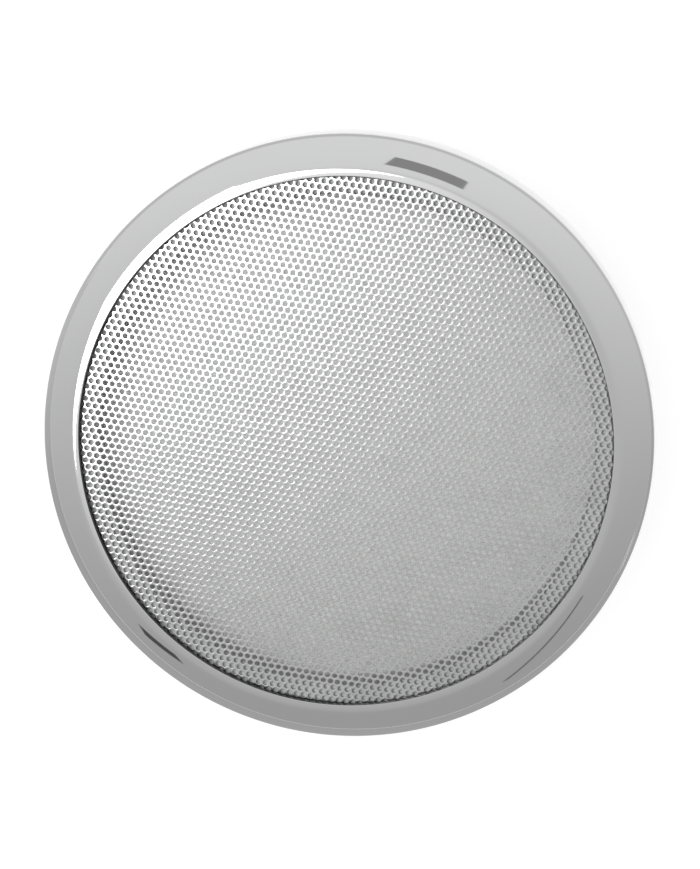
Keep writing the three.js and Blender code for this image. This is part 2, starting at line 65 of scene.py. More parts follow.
def eased(corners, steps=4):
    """An outline of (r, z, radius) corners with each corner rounded to its radius."""
    out = []
    for i, (r, z, radius) in enumerate(corners):
        here = Vector((r, z))
        before = Vector(corners[i - 1][:2]) - here
        after = Vector(corners[(i + 1) % len(corners)][:2]) - here
        if radius <= 0 or before.length < 1e-6 or after.length < 1e-6:
            out.append((r, z))
            continue
        half = before.angle(after) / 2
        reach = min(radius / math.tan(half), before.length * 0.49, after.length * 0.49)
        a, b = here + before.normalized() * reach, here + after.normalized() * reach
        for k in range(steps + 1):
            t = k / steps
            p = a * (1 - t) ** 2 + here * (2 * t * (1 - t)) + b * t ** 2
            out.append((p.x, p.y))
    return out


def turned(name, outline, sides=192, crease=35):
    """A closed mesh turned round the Z axis from an outline in millimetres."""
    points = [p for i, p in enumerate(outline) if i == 0 or math.dist(p, outline[i - 1]) > 1e-4]
    if math.dist(points[0], points[-1]) < 1e-4:
        points.pop()
    bm = bmesh.new()
    rings = []
    for r, z in points:
        if r < 1e-6:
            rings.append([bm.verts.new((0, 0, z * MM))])
            continue
        rings.append([
            bm.verts.new((r * math.cos(a) * MM, r * math.sin(a) * MM, z * MM))
            for a in (2 * math.pi * k / sides for k in range(sides))
        ])
    for a, b in zip(rings, rings[1:] + rings[:1]):
        if len(a) == 1 and len(b) == 1:
            continue
        for k in range(sides):
            n = (k + 1) % sides
            corners = [a[k % len(a)], a[n % len(a)], b[n % len(b)], b[k % len(b)]]
            bm.faces.new(list(dict.fromkeys(corners)))
    return finished(name, bm, crease)


def finished(name, bm, crease=35):
    """Turns a bmesh into a smooth-shaded object with its faces pointing out."""
    bmesh.ops.remove_doubles(bm, verts=bm.verts, dist=1e-7)
    bmesh.ops.recalc_face_normals(bm, faces=bm.faces)
    mesh = bpy.data.meshes.new(name)
    bm.to_mesh(mesh)
    bm.free()
    made = bpy.data.objects.new(name, mesh)
    bpy.context.collection.objects.link(made)
    smooth(made, crease)
    return made


def smooth(piece, crease):
    piece.data.shade_smooth()
    piece.data.set_sharp_from_angle(angle=math.radians(crease))


def worked(piece, operation, tools, crease=35):
    """Joins tools to a piece or cuts them from it, and removes the tools."""
    for tool in tools:
        change = piece.modifiers.new("work", "BOOLEAN")
        change.operation, change.object, change.solver = operation, tool, "EXACT"
    bpy.context.view_layer.update()
    graph = bpy.context.evaluated_depsgraph_get()
    mesh = bpy.data.meshes.new_from_object(piece.evaluated_get(graph))
    piece.modifiers.clear()
    piece.data = mesh
    for tool in tools:
        bpy.data.objects.remove(tool, do_unlink=True)
    smooth(piece, crease)
    return piece


def placed(piece, circle, degrees):
    """Moves a piece's mesh out from the axis to a place on a circle round it."""
    a = math.radians(degrees)
    piece.data.transform(Matrix.Rotation(a, 4, "Z") @ Matrix.Translation((circle * MM, 0, 0)))
    return piece


def post(name, radius, low, high, sides=BORE_SIDES):
    return turned(name, [(0, low), (radius, low), (radius, high), (0, high)], sides)


def look(name):
    """A new node material, with its node tree, its shader and a link function."""
    material = bpy.data.materials.new(name)
    material.use_nodes = True
    tree = material.node_tree
    return material, tree, tree.nodes["Principled BSDF"], tree.links.new


def cloudy(tree, scale, detail=3, space="Object"):
    """Soft noise that stays with the piece."""
    where = tree.nodes.new("ShaderNodeTexCoord")
    noise = tree.nodes.new("ShaderNodeTexNoise")
    noise.inputs["Scale"].default_value = scale
    noise.inputs["Detail"].default_value = detail
    tree.links.new(where.outputs[space], noise.inputs["Vector"])
    return noise


def between(tree, source, low, high):
    """Maps a 0 to 1 source onto low to high."""
    span = tree.nodes.new("ShaderNodeMapRange")
    span.inputs["To Min"].default_value = low
    span.inputs["To Max"].default_value = high
    tree.links.new(source, span.inputs["Value"])
    return span.outputs["Result"]


def shades(tree, source, dark, light):
    """A colour between dark and light, chosen by a source."""
    ramp = tree.nodes.new("ShaderNodeValToRGB")
    ramp.color_ramp.elements[0].position = 0.3
    ramp.color_ramp.elements[1].position = 0.7
    ramp.color_ramp.elements[0].color = (*dark, 1)
    ramp.color_ramp.elements[1].color = (*light, 1)
    tree.links.new(source, ramp.inputs["Fac"])
    return ramp.outputs["Color"]


def relief(tree, shader, source, depth, strength=1.0):
    """Bump of a given depth in metres."""
    bump = tree.nodes.new("ShaderNodeBump")
    bump.inputs["Strength"].default_value = strength
    bump.inputs["Distance"].default_value = depth
    tree.links.new(source, bump.inputs["Height"])
    tree.links.new(bump.outputs["Normal"], shader.inputs["Normal"])


def patchy(tree, shader, scale, low, high, detail=3):
    """Roughness that wanders between low and high in soft patches."""
    tree.links.new(between(tree, cloudy(tree, scale, detail).outputs["Fac"], low, high),
                   shader.inputs["Roughness"])


def metal(name, dark, light, rough, grain, depth=2e-6):
    """A metal finish: two near shades, a range of roughness and a grain scale."""
    material, tree, shader, link = look(name)
    shader.inputs["Metallic"].default_value = 1.0
    link(shades(tree, cloudy(tree, grain * 0.2).outputs["Fac"], dark, light),
         shader.inputs["Base Color"])
    patchy(tree, shader, grain, *rough, 5)
    relief(tree, shader, cloudy(tree, grain * 3, 4).outputs["Fac"], depth, 0.3)
    return material


polished_chrome = metal(
    "polished_chrome", (0.542, 0.543, 0.544), (0.562, 0.563, 0.564), (0.025, 0.06), 60, 6e-7)

trim_radius, trim_base, trim_crest, trim_wall = 42.5, 29.3, 39.1, 1.3
opening_radius, mesh_seat = 36.95, 38.15
wall_top = trim_base + 6.0
shoulder_slope, brow_slope, lip_slope = 44, 24, 2
shoulder = (trim_radius - 0.75, wall_top + 1.35)
brow = (opening_radius + 1.35, trim_crest - 0.19)
lip = (opening_radius + 0.08, trim_crest - 0.005)


def climb(degrees, length):
    """A step of the given length up a slope that rises towards the axis."""
    slope = math.radians(degrees)
    return (-length * math.cos(slope), length * math.sin(slope))


ring_outline = [
    *eased([(trim_radius - trim_wall, trim_base, 0.1), (trim_radius, trim_base, 0.25),
            (trim_radius, wall_top - 0.5, 0)])[:-1],
    *bend((trim_radius, wall_top), (0, 0.75), climb(shoulder_slope, -0.45), shoulder, 20),
    *bend(shoulder, climb(shoulder_slope, 1.25), climb(brow_slope, -1.25), brow, 30),
    *bend(brow, climb(brow_slope, 0.3), climb(lip_slope, -0.75), lip, 20),
    *bend(lip, climb(1, 0.045), (0, 0.045), (opening_radius, trim_crest - 0.085), 6),
    (opening_radius, mesh_seat + 0.08), (opening_radius + 0.08, mesh_seat),
    (opening_radius + 1.1, mesh_seat), (trim_radius - trim_wall, wall_top),
]
trim_ring = turned("trim_ring_polished", ring_outline, 320, 60)

boss_circle, boss_radius, boss_low, boss_high = 39.45, 1.5, 32.95, 35.15
quarter_turns = range(0, 360, 90)
bosses, screw_bores = [], []
for degrees in quarter_turns:
    bosses.append(placed(post("boss", boss_radius, boss_low, boss_high), boss_circle, degrees))
    web = turned("web", [(0, boss_low), (0.95, boss_low), (0.95, boss_high), (0, boss_high)], 24)
    web.data.transform(Matrix.Diagonal((1, 0.8, 1, 1)))
    bosses.append(placed(web, boss_circle + 1.1, degrees))
    screw_bores.append(placed(post("bore", 0.85, boss_low - 0.2, 34.9), boss_circle, degrees))
worked(trim_ring, "UNION", bosses, 40)
worked(trim_ring, "DIFFERENCE", screw_bores, 40)

# painted shade: the lip's inner edge, just above the mesh, gets a near-black finish that stands for
# the shadow in the gap between lip and mesh
lip_gap_painted_shade = metal("lip_gap_painted_shade", (0.07, 0.07, 0.07), (0.12, 0.12, 0.12), (0.4, 0.6), 300)
trim_ring.data.materials.append(polished_chrome)
trim_ring.data.materials.append(lip_gap_painted_shade)
# faces of the lip's inner wall above the mesh get the painted shade
for face in trim_ring.data.polygons:
    radius = math.hypot(face.center.x, face.center.y) / MM
    above = face.center.z > (mesh_seat - 0.05) * MM
    face.material_index = int(above and radius < opening_radius + 0.07)
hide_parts("trim_ring")
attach(trim_ring, "grille")


# ---- grille mesh --------------------------------------------------------------------------------
# A thin steel sheet punched with staggered round holes, pressed to a shallow dome and chromium
# plated, which rounds every web between the holes. Its flat rim tucks up under the ring's lip.

mesh_top, mesh_rise, mesh_thickness, mesh_edge = 38.10, 1.25, 0.45, 37.85
pitch, hole_radius, row_angle = 1.0, 0.372, math.radians(-7.6)
rim_sink, saddle_sink = 0.028, 0.016
dome_radius = (opening_radius ** 2 + mesh_rise ** 2) / (2 * mesh_rise)


def sheet_height(r):
    """Height of the sheet's front above its flat rim."""
    rise = np.sqrt(np.maximum(dome_radius ** 2 - r ** 2, 0)) - (dome_radius - mesh_rise)
    return mesh_top + np.where(r < opening_radius, np.maximum(rise, 0), 0)


step_a = pitch * np.array([math.cos(row_angle), math.sin(row_angle)])
step_b = pitch * np.array([math.cos(row_angle + math.pi / 3), math.sin(row_angle + math.pi / 3)])
reach = int(mesh_edge / pitch * 1.3)
count_a, count_b = np.meshgrid(range(-reach, reach + 1), range(-reach, reach + 1))
cells = np.stack([count_a.ravel(), count_b.ravel()], 1)
centres = cells[:, :1] * step_a + cells[:, 1:] * step_b
inside = np.hypot(*centres.T) < mesh_edge - pitch * 0.6
cells, centres = cells[inside], centres[inside]

# sixths of a step from a hole's centre to the corners and side middles of its hexagon
around = np.array([(3, 0), (2, 2), (0, 3), (-2, 4), (-3, 3), (-4, 2),
                   (-3, 0), (-2, -2), (0, -3), (2, -4), (3, -3), (4, -2)])
sides = len(around)
border_keys = (cells[:, None, :] * 6 + around[None]).reshape(-1, 2)
keys, border_index = np.unique(border_keys, axis=0, return_inverse=True)
border_index = border_index.reshape(-1, sides)
border = (keys[:, :1] * step_a + keys[:, 1:] * step_b) / 6
on_side = np.zeros(len(keys), bool)
on_side[border_index[:, 0::2].ravel()] = True

turn = row_angle + np.arange(sides) * 2 * math.pi / sides
rim = centres[:, None] + hole_radius * np.stack([np.cos(turn), np.sin(turn)], 1)[None]
rim = rim.reshape(-1, 2)
rim_index = np.arange(len(rim)).reshape(-1, sides)

nexts = np.roll(np.arange(sides), -1)
edges = np.sort(np.stack([border_index, border_index[:, nexts]], 2).reshape(-1, 2), axis=1)
edges, uses = np.unique(edges, axis=0, return_counts=True)
open_edges = edges[uses == 1]
open_points = np.unique(open_edges)
place_of = {int(p): i for i, p in enumerate(open_points)}
edge_sides = 360
edge_turn = np.arange(edge_sides) * 2 * math.pi / edge_sides
edge_points = mesh_edge * np.stack([np.cos(edge_turn), np.sin(edge_turn)], 1)
flat_points = [Vector(p) for p in np.concatenate([border[open_points], edge_points])]
flat_edges = [(place_of[int(a)], place_of[int(b)]) for a, b in open_edges]
first_edge = len(open_points)
flat_edges += [(first_edge + k, first_edge + (k + 1) % edge_sides) for k in range(edge_sides)]
filled = delaunay_2d_cdt(flat_points, flat_edges, [], 0, 1e-6)
kept_cells = {tuple(c) for c in cells.tolist()}
to_cells = np.linalg.inv(np.stack([step_a, step_b], 1))


def cell_of(point):
    """The hexagon that a flat point lies in."""
    u, v = to_cells @ point
    near = [(int(math.floor(u)) + a, int(math.floor(v)) + b) for a in (0, 1) for b in (0, 1)]
    return min(near, key=lambda c: np.hypot(*(c[0] * step_a + c[1] * step_b - point)))


margin = []
for face in filled[2]:
    corners = [filled[0][v] for v in face]
    middle = np.array(sum(corners, Vector((0, 0))) / len(corners))
    if cell_of(middle) not in kept_cells:
        margin.append([filled[3][v][0] for v in face])

flat = np.concatenate([border, rim, edge_points])
border_count, rim_count = len(border), len(rim)
front = np.column_stack([flat, sheet_height(np.hypot(*flat.T))])
back = front - [0, 0, mesh_thickness]
front[:border_count, 2] -= on_side * saddle_sink
front[border_count:border_count + rim_count, 2] -= rim_sink
points = np.concatenate([front, back]) * MM
behind = len(flat)

hexes, rims = border_index, rim_index + border_count
quads = [
    np.stack([hexes, hexes[:, nexts], rims[:, nexts], rims], 2),
    np.stack([rims, rims[:, nexts], rims[:, nexts] + behind, rims + behind], 2),
    np.stack([rims, rims[:, nexts], hexes[:, nexts], hexes], 2) + behind,
]
faces = [q.reshape(-1, 4).tolist() for q in quads]
faces = faces[0] + faces[1] + faces[2]
first_rim = border_count + rim_count


def sheet_point(i):
    return int(open_points[i]) if i < first_edge else first_rim + i - first_edge


for face in margin:
    corners = [sheet_point(i) for i in face]
    a, b, c = (flat[i] for i in corners[:3])
    if np.cross(b - a, c - a) < 0:
        corners.reverse()
    faces.append(corners)
    faces.append([i + behind for i in reversed(corners)])
for k in range(edge_sides):
    a, b = first_rim + k, first_rim + (k + 1) % edge_sides
    faces.append([b, a, a + behind, b + behind])

punched = bpy.data.meshes.new("grille_sheet_punched")
punched.from_pydata(points.tolist(), [], faces)
punched.validate()
grille_sheet = bpy.data.objects.new("grille_sheet_punched", punched)
bpy.context.collection.objects.link(grille_sheet)
smooth(grille_sheet, 60)

plated_sheet = metal(
    "plated_sheet", (0.50, 0.501, 0.502), (0.55, 0.551, 0.552), (0.12, 0.2), 900, 2e-6)
tree, link = plated_sheet.node_tree, plated_sheet.node_tree.links.new
across = tree.nodes.new("ShaderNodeVectorMath")
across.operation = "MULTIPLY"
across.inputs[1].default_value = (1, 1, 0)
link(tree.nodes.new("ShaderNodeTexCoord").outputs["Object"], across.inputs[0])
outward = tree.nodes.new("ShaderNodeVectorMath")
outward.operation = "LENGTH"
link(across.outputs["Vector"], outward.inputs[0])
# painted shade: the sheet's colour goes to near black where it goes in under the lip, standing for
# the lip's shadow on it
under_lip_painted_shade = tree.nodes.new("ShaderNodeMapRange")
under_lip_painted_shade.inputs["From Min"].default_value = (opening_radius - 0.32) * MM
under_lip_painted_shade.inputs["From Max"].default_value = (opening_radius - 0.12) * MM
link(outward.outputs["Value"], under_lip_painted_shade.inputs["Value"])
shader = tree.nodes["Principled BSDF"]
under_lip_shade_mix = tree.nodes.new("ShaderNodeMix")
under_lip_shade_mix.data_type = "RGBA"
link(under_lip_painted_shade.outputs["Result"], under_lip_shade_mix.inputs["Factor"])
link(shader.inputs["Base Color"].links[0].from_socket, under_lip_shade_mix.inputs["A"])
# the near-black colour of the painted shade under the lip
under_lip_shade_mix.inputs["B"].default_value = (0.10, 0.10, 0.10, 1)
link(under_lip_shade_mix.outputs["Result"], shader.inputs["Base Color"])
grille_sheet.data.materials.append(plated_sheet)
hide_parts("grille_mesh")
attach(grille_sheet, "grille")


# ---- mesh retainer ------------------------------------------------------------------------------
# A pressed, satin plated steel ring. Its flat ledge holds the sheet up under the lip, and its skirt
# turns down at the inner edge to stand on the keeper ring.

ledge_inner, ledge_top, ledge_back, keeper_top = 34.45, 37.6, 36.8, 32.9
retainer = turned("mesh_retainer_pressed", eased([
    (ledge_inner, keeper_top + 0.05, 0.08), (ledge_inner + 0.7, keeper_top + 0.05, 0.08),
    (ledge_inner + 0.7, ledge_back, 0.3), (mesh_edge, ledge_back, 0.08),
    (mesh_edge, ledge_top, 0.08), (ledge_inner, ledge_top, 0.3),
]), 256)
satin_plate = metal("satin_plate", (0.30, 0.303, 0.306), (0.38, 0.383, 0.386), (0.5, 0.65), 500)
satin_plate.node_tree.nodes["Principled BSDF"].inputs["Metallic"].default_value = 0.4
retainer.data.materials.append(satin_plate)
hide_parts("mesh_retainer")
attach(retainer, "grille")


# ---- keeper ring and its screws -----------------------------------------------------------------
# A flat, bright-plated mild steel washer that the faceplate's magnets pull on. Four countersunk
# cross-head screws clamp it, and the retainer above it, into the trim ring's bosses.

keeper_back, screw_radius, head_radius = 31.7, 0.8, 1.35


def countersunk(name, gap):
    """The shape of a screw, grown by a gap to cut its own hole."""
    seat = keeper_back + 0.1 + head_radius - screw_radius
    tip = [(screw_radius, 34.3), (0.5, 34.7)] if gap == 0 else [(screw_radius + gap, 34.7)]
    return turned(name, [
        (0, keeper_back - gap), (head_radius + gap, keeper_back - gap),
        (head_radius + gap, keeper_back + 0.1), (screw_radius + gap, seat), *tip, (0, 34.7),
    ], BORE_SIDES)


keeper = turned("keeper_ring_stamped", eased([
    (ledge_inner, keeper_back, 0.12), (40.95, keeper_back, 0.12),
    (40.95, keeper_top, 0.2), (ledge_inner, keeper_top, 0.2),
]), 256)
worked(keeper, "DIFFERENCE",
       [placed(countersunk("sink", 0.2), boss_circle, a) for a in quarter_turns])
bright_zinc = metal("bright_zinc", (0.50, 0.51, 0.53), (0.62, 0.63, 0.64), (0.2, 0.4), 300)
keeper.data.materials.append(bright_zinc)
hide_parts("keeper_ring")
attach(keeper, "grille")


def prism(ends):
    """A closed bmesh between two end outlines in millimetres, with as many corners each."""
    bm = bmesh.new()
    rows = [[bm.verts.new((x * MM, y * MM, z * MM)) for x, y, z in outline] for outline in ends]
    bm.faces.new(rows[0])
    bm.faces.new(rows[1])
    for k in range(len(rows[0])):
        n = (k + 1) % len(rows[0])
        bm.faces.new((rows[0][k], rows[0][n], rows[1][n], rows[1][k]))
    return bm


def block(name, low, high, taper=1.0):
    """A six-sided tool block between two corners in millimetres, its top drawn in by taper."""
    (x0, y0, z0), (x1, y1, z1) = low, high
    cx, cy = (x0 + x1) / 2, (y0 + y1) / 2
    return finished(name, prism([
        [(cx + (x - cx) * grow, cy + (y - cy) * grow, z)
         for x, y in ((x0, y0), (x1, y0), (x1, y1), (x0, y1))]
        for z, grow in ((z0, 1.0), (z1, taper))]))


def cross_recess(z, depth, reach, width, up=1):
    """Two crossed tapered wedges that cut a driver recess from the face at z."""
    end = z + depth * up
    start = z - 0.2 * up
    return [block("wedge", (-a, -b, start), (a, b, end), 0.55)
            for a, b in ((reach, width), (width, reach))]


for i, degrees in enumerate(quarter_turns, 1):
    screw = countersunk(f"grille_screw_{i}_cut", 0)
    worked(screw, "DIFFERENCE", cross_recess(keeper_back, 0.55, 0.75, 0.2))
    placed(screw, boss_circle, degrees)
    screw.data.materials.append(bright_zinc)
    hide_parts(f"grille_screw_{i}")
    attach(screw, "grille")


# ---- acoustic cloth -----------------------------------------------------------------------------
# A disc of pale woven polyester, cut round, stretched flat and glued to the back of the keeper
# ring. It hides the driver and lets sound through.

cloth_radius, cloth_front, cloth_thickness = 35.3, 31.65, 0.3
cloth_rings, cloth_sides = 24, 160
cloth_front_line = [
    (cloth_radius * k / cloth_rings,
     cloth_front - 0.02 - 0.05 * (1 - (k / cloth_rings) ** 2)) for k in range(cloth_rings + 1)]
cloth_back_line = [(r, z - cloth_thickness + 0.04) for r, z in reversed(cloth_front_line)]
acoustic_cloth = turned("acoustic_cloth_woven", cloth_front_line + cloth_back_line, cloth_sides, 60)


def woven(name, threads, waver, crossing, dark, light, rough, patches, sheen, depth):
    """A plain weave: two sets of threads at right angles, joined by the crossing operation."""
    material, tree, shader, link = look(name)
    where = tree.nodes.new("ShaderNodeTexCoord")
    weave = tree.nodes.new("ShaderNodeMath")
    weave.operation = crossing
    for axis, socket in zip("XY", weave.inputs):
        wave = tree.nodes.new("ShaderNodeTexWave")
        wave.bands_direction = axis
        wave.inputs["Scale"].default_value = threads
        wave.inputs["Distortion"].default_value = waver
        link(where.outputs["Object"], wave.inputs["Vector"])
        link(wave.outputs["Fac"], socket)
    link(shades(tree, weave.outputs["Value"], dark, light), shader.inputs["Base Color"])
    patchy(tree, shader, patches, *rough)
    shader.inputs["Sheen Weight"].default_value = sheen
    relief(tree, shader, weave.outputs["Value"], depth, 0.5)
    return material


pale_weave = woven("pale_weave", 900, 0.6, "MAXIMUM", (0.82, 0.82, 0.82), (0.93, 0.93, 0.93),
                   (0.8, 1.0), 300, 0.3, 5e-5)
acoustic_cloth.data.materials.append(pale_weave)
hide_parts("acoustic_cloth")
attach(acoustic_cloth, "grille")


# ---- faceplate ----------------------------------------------------------------------------------
# The driver's front is moulded in black glass-filled plastic with a fine spark-eroded grain. Its
# rim carries the grille magnets, a bowl leads out from the dome, and a collar holds the motor.

face_radius, rim_inner, rim_top, plateau_top, panel_seat = 40.95, 35.55, 31.6, 31.0, 29.6
collar_radius, collar_inner, collar_end, face_back = 30.5, 29.7, 22.25, 25.45
throat_radius, mouth_radius, clamp_face, clamp_radius = 18.8, 30.0, 26.55, 21.6
magnet_circle, mount_circle, motor_circle = 38.25, 33.4, 26.8
motor_turns, lead_degrees = (60, 180, 300), 24


def arch(start, end, degrees, steps):
    """Points on an arc between two (r, z) points that turns clockwise through the given angle."""
    half = math.radians(degrees) / 2
    radius = math.dist(start, end) / (2 * math.sin(half))
    heading = math.atan2(end[1] - start[1], end[0] - start[0]) + half
    r, z = start[0] + radius * math.sin(heading), start[1] - radius * math.cos(heading)
    turns = [heading - 2 * half * k / steps for k in range(steps + 1)]
    return [(r - radius * math.sin(a), z + radius * math.cos(a)) for a in turns]


def moulded(name, dark, light, rough, grain, depth):
    """A plastic finish: two near shades, a range of roughness, and a fine grain."""
    material, tree, shader, link = look(name)
    link(shades(tree, cloudy(tree, 90).outputs["Fac"], dark, light), shader.inputs["Base Color"])
    patchy(tree, shader, grain * 0.3, *rough, 4)
    relief(tree, shader, cloudy(tree, grain, 4).outputs["Fac"], depth, 0.6)
    return material


bowl = arch((throat_radius, clamp_face + 0.4), (mouth_radius, plateau_top), 28, 24)
faceplate = turned("faceplate_moulded", eased([
    (throat_radius, clamp_face, 0.05), *[(r, z, 0) for r, z in bowl[:-1]],
    (mouth_radius, plateau_top, 0.3), (rim_inner, plateau_top, 0.2), (rim_inner, rim_top, 0.2),
    (face_radius, rim_top, 0.25), (face_radius, panel_seat, 0.2), (collar_radius, panel_seat, 0.1),
    (collar_radius, collar_end, 0.3), (collar_inner, collar_end, 0.2),
    (collar_inner, face_back, 0.2), (clamp_radius, face_back, 0.1), (clamp_radius, clamp_face, 0.1),
]), 192)
cuts = []
for degrees in quarter_turns:
    cuts.append(placed(post("pocket", 2.2, 30.5, 33), magnet_circle, degrees + 45))
    cuts.append(placed(turned("mount_hole", [
        (0, 28), (1.9, 28), (1.9, 30.75), (2.2, 31.05), (0, 31.05)], 40), mount_circle, degrees))
    cuts.append(placed(post("head_room", 3.6, plateau_top + 0.01, 33, 48), mount_circle, degrees))
for degrees in motor_turns:
    cuts.append(placed(post("screw_bore", 1.5, 24, 28.65), motor_circle, degrees))
for degrees in (-lead_degrees, lead_degrees):
    groove = block("lead_groove", (19.8, -0.9, 24), (28.8, 0.9, face_back + 1.6))
    cuts.append(placed(groove, 0, degrees))
worked(faceplate, "DIFFERENCE", cuts)
black_grained = moulded(
    "black_grained", (0.012, 0.012, 0.013), (0.024, 0.024, 0.026), (0.42, 0.62), 2200, 3e-5)
faceplate.data.materials.append(black_grained)
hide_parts("faceplate")
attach(faceplate, "driver")


# ---- panel gasket -------------------------------------------------------------------------------
# A flat ring die-cut from closed-cell foam. It lies behind the faceplate's rim, round the collar,
# and seals to the panel, with a hole for each mounting screw.

gasket = turned("panel_gasket_die_cut", eased([
    (30.75, 28.95, 0.15), (40.55, 28.95, 0.15), (40.55, 29.55, 0.1), (30.75, 29.55, 0.1),
]), 192)
worked(gasket, "DIFFERENCE",
       [placed(post("hole", 2.1, 28, 31), mount_circle, a) for a in quarter_turns])
closed_cell, tree, shader, link = look("closed_cell")
pores = tree.nodes.new("ShaderNodeTexVoronoi")
pores.inputs["Scale"].default_value = 2600
link(tree.nodes.new("ShaderNodeTexCoord").outputs["Object"], pores.inputs["Vector"])
link(shades(tree, pores.outputs["Distance"], (0.022, 0.022, 0.024), (0.05, 0.05, 0.053)),
     shader.inputs["Base Color"])
patchy(tree, shader, 700, 0.85, 1.0)
relief(tree, shader, pores.outputs["Distance"], 1.2e-4, 0.8)
gasket.data.materials.append(closed_cell)
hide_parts("panel_gasket")
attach(gasket, "driver")


# ---- grille magnets -----------------------------------------------------------------------------
# Four small sintered neodymium discs, nickel plated, with their edges tumbled round. They are glued
# into pockets in the faceplate's rim and pull on the keeper ring.

bright_nickel = metal("bright_nickel", (0.60, 0.585, 0.55), (0.70, 0.68, 0.645), (0.12, 0.25), 700)
for i in range(1, 5):
    magnet = turned(f"grille_magnet_{i}_plated", eased([
        (0, 30.55, 0), (2, 30.55, 0.15), (2, 31.55, 0.15), (0, 31.55, 0)], 3), 48)
    placed(magnet, magnet_circle, 90 * i - 45)
    magnet.data.materials.append(bright_nickel)
    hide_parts(f"grille_magnet_{i}")
    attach(magnet, "driver")


# ---- dome ---------------------------------------------------------------------------------------
# A soft dome of fine woven silk, heat-formed and doped black on its front so that the weave still
# shows. Its flat lip is glued under the surround, and the coil former hangs from its foot.

dome_foot, dome_edge, dome_rise, skin = 26.15, 13.9, 4.4, 0.25
doming = 2 * math.degrees(math.atan(dome_rise / dome_edge))
dome_top = dome_foot + dome_rise
dome_front = arch((0, dome_top), (dome_edge, dome_foot + 0.02), doming, 36)
dome_inner = arch((0, dome_top - skin), (dome_edge - skin, dome_foot - 0.3), doming, 36)
dome = turned("dome_woven", [
    *dome_front, (dome_edge + 0.15, dome_foot), (14.85, dome_foot), (14.9, dome_foot - 0.05),
    (14.9, dome_foot - 0.25), (14.85, dome_foot - 0.3), *dome_inner[::-1],
], 192, 50)
doped_silk = woven("doped_silk", 1100, 0.4, "MULTIPLY", (0.014, 0.014, 0.016),
                   (0.04, 0.04, 0.043), (0.3, 0.55), 250, 0.25, 4e-5)
dome.data.materials.append(doped_silk)
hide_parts("dome")
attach(dome, "diaphragm")


# ---- surround -----------------------------------------------------------------------------------
# A half roll of rubber-coated cloth. Its inner foot is glued on the dome's lip and its outer edge
# is clamped between the carrier and the faceplate; in use it gives way a little, here it is one
# fixed shape.

foot_back, foot_front, roll_inner, roll_outer, surround_edge = 26.2, 26.5, 14.9, 18.2, 21.4
crown = arch((roll_inner, foot_front), (roll_outer, foot_front), 170, 20)
under = arch((roll_inner + 0.3, foot_back), (roll_outer - 0.3, foot_back), 170, 20)
surround = turned("surround_rolled", [
    (14.1, foot_back + 0.05), (14.1, foot_front - 0.05), (14.15, foot_front), *crown,
    (surround_edge - 0.05, foot_front), (surround_edge, foot_front - 0.05),
    (surround_edge, foot_back + 0.05), (surround_edge - 0.05, foot_back), *under[::-1],
    (14.15, foot_back),
], 192, 50)
rubbered = moulded(
    "rubbered_cloth", (0.010, 0.010, 0.011), (0.022, 0.022, 0.024), (0.5, 0.75), 1500, 4e-5)
surround.data.materials.append(rubbered)
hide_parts("surround")
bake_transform(surround)
for vertex in surround.data.vertices:
    radius = math.hypot(vertex.co.x, vertex.co.y) / MM


# ---- coil former and voice coil -----------------------------------------------------------------
# The former is a thin aluminium foil tube, glued into the dome's foot. The coil is one layer of
# enamelled copper wire wound tight round it, and hangs in the motor's gap.

former = turned("coil_former_rolled", eased([
    (13.65, 20.8, 0.08), (13.9, 20.8, 0.08), (13.9, 25.8, 0.08), (13.65, 25.8, 0.08),
], 2), 128)
foil = metal("rolled_foil", (0.62, 0.61, 0.58), (0.72, 0.71, 0.68), (0.25, 0.4), 400)
former.data.materials.append(foil)
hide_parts("coil_former")
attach(former, "diaphragm")

coil_back, coil_height, coil_inner, coil_turns = 21.95, 3.4, 13.95, 14
wire = coil_height / coil_turns
windings = [(coil_inner, coil_back + 0.02)]
for k in range(coil_turns):
    for step in range(6):
        a = math.pi * (step + 0.5) / 6
        windings.append((14.4 - wire / 2 + wire / 2 * math.sin(a),
                         coil_back + wire * (k + 0.5) - wire / 2 * math.cos(a)))
windings.append((coil_inner, coil_back + coil_height - 0.02))
voice_coil = turned("voice_coil_wound", windings, 128, 40)
enamelled = metal("enamelled_copper", (0.45, 0.17, 0.07), (0.60, 0.26, 0.12), (0.18, 0.3), 500)
enamelled.node_tree.nodes["Principled BSDF"].inputs["Coat Weight"].default_value = 0.6
voice_coil.data.materials.append(enamelled)
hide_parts("voice_coil")
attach(voice_coil, "diaphragm")


# ---- surround carrier ---------------------------------------------------------------------------
# A flat moulded ring that the surround's edge is bonded to, so that the diaphragm can be dropped in
# as one piece. Two notches in its edge let the leads out.

carrier = turned("surround_carrier_moulded", eased([
    (18.4, 25.45, 0.1), (21.4, 25.45, 0.1), (21.4, 26.15, 0.1), (18.4, 26.15, 0.1)]), 160)
worked(carrier, "DIFFERENCE", [
    placed(block("notch", (19.9, -0.9, 24), (22.9, 0.9, 28)), 0, a)
    for a in (-lead_degrees, lead_degrees)])
carrier.data.materials.append(black_grained)
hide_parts("surround_carrier")
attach(carrier, "driver")


# ---- motor --------------------------------------------------------------------------------------
# A ring magnet of sintered ferrite stands between a turned front plate and a yoke with a vented
# pole, both in zinc-plated steel. The three are glued in a stack, and the plate takes the screws.

rivet_x, rivet_places = 25.95, (-3.75, 3.75)


def shifted(piece, x, y):
    """Moves a piece's mesh sideways by millimetres."""
    piece.data.transform(Matrix.Translation((x * MM, y * MM, 0)))
    return piece


